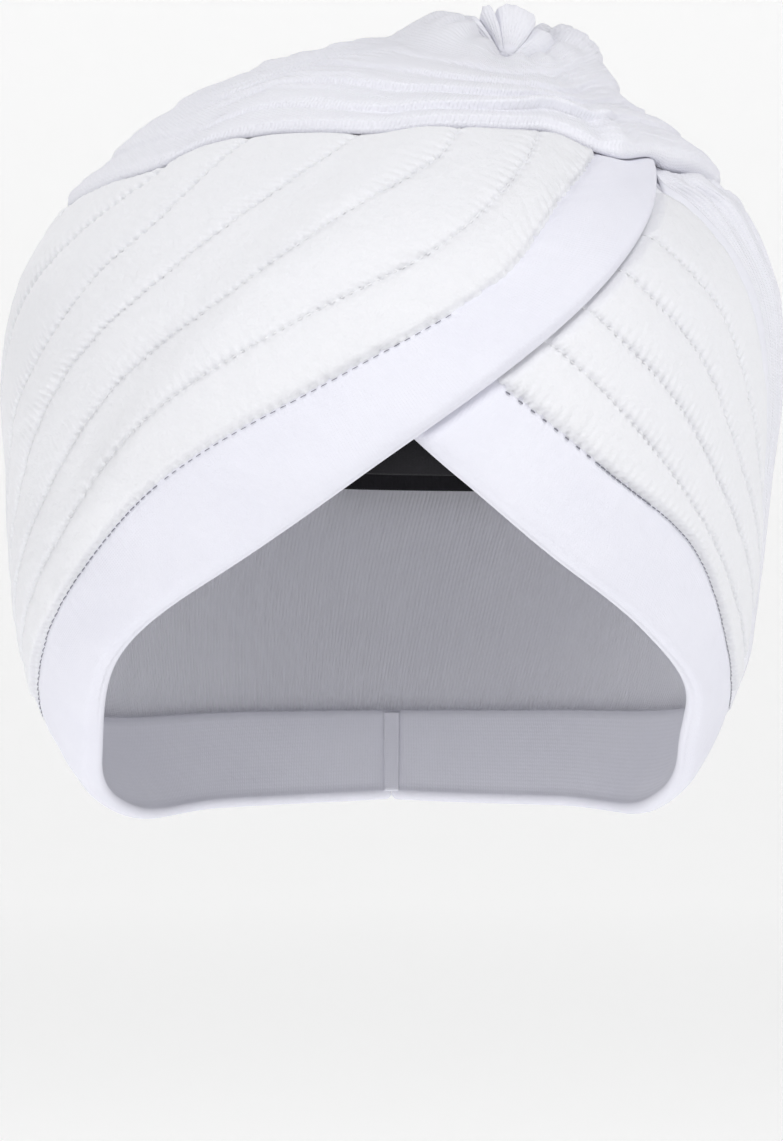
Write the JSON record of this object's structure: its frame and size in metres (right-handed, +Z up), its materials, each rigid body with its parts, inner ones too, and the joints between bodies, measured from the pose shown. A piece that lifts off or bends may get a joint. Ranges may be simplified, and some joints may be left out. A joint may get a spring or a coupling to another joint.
{
  "type": "tied turban pagri",
  "caption": "Ready-tied pagri in its worn form: quilted panels that cross over the brow with plain hems, and gathered jersey wound over the crown to a small knot.",
  "frame": {"origin": "top of the wearer's head, just inside the crown, where the head carries the cap", "axes": "+Z up, -Y to the front, +X to the wearer's left"},
  "size_m": [0.1913, 0.2107, 0.1999],
  "materials": {
    "quilt": "brushed, padded and stitched in rows",
    "jersey": "fine plain knit",
    "black_jersey": "fine plain knit"
  },
  "bodies": {
    "root": {"quilt_right": "quilt", "quilt_left": "quilt", "hem_right": "jersey", "hem_left": "jersey", "wrap": "jersey", "back_drape": "jersey", "knot": "jersey", "under_band": "black_jersey"}
  },
  "joints": []
}
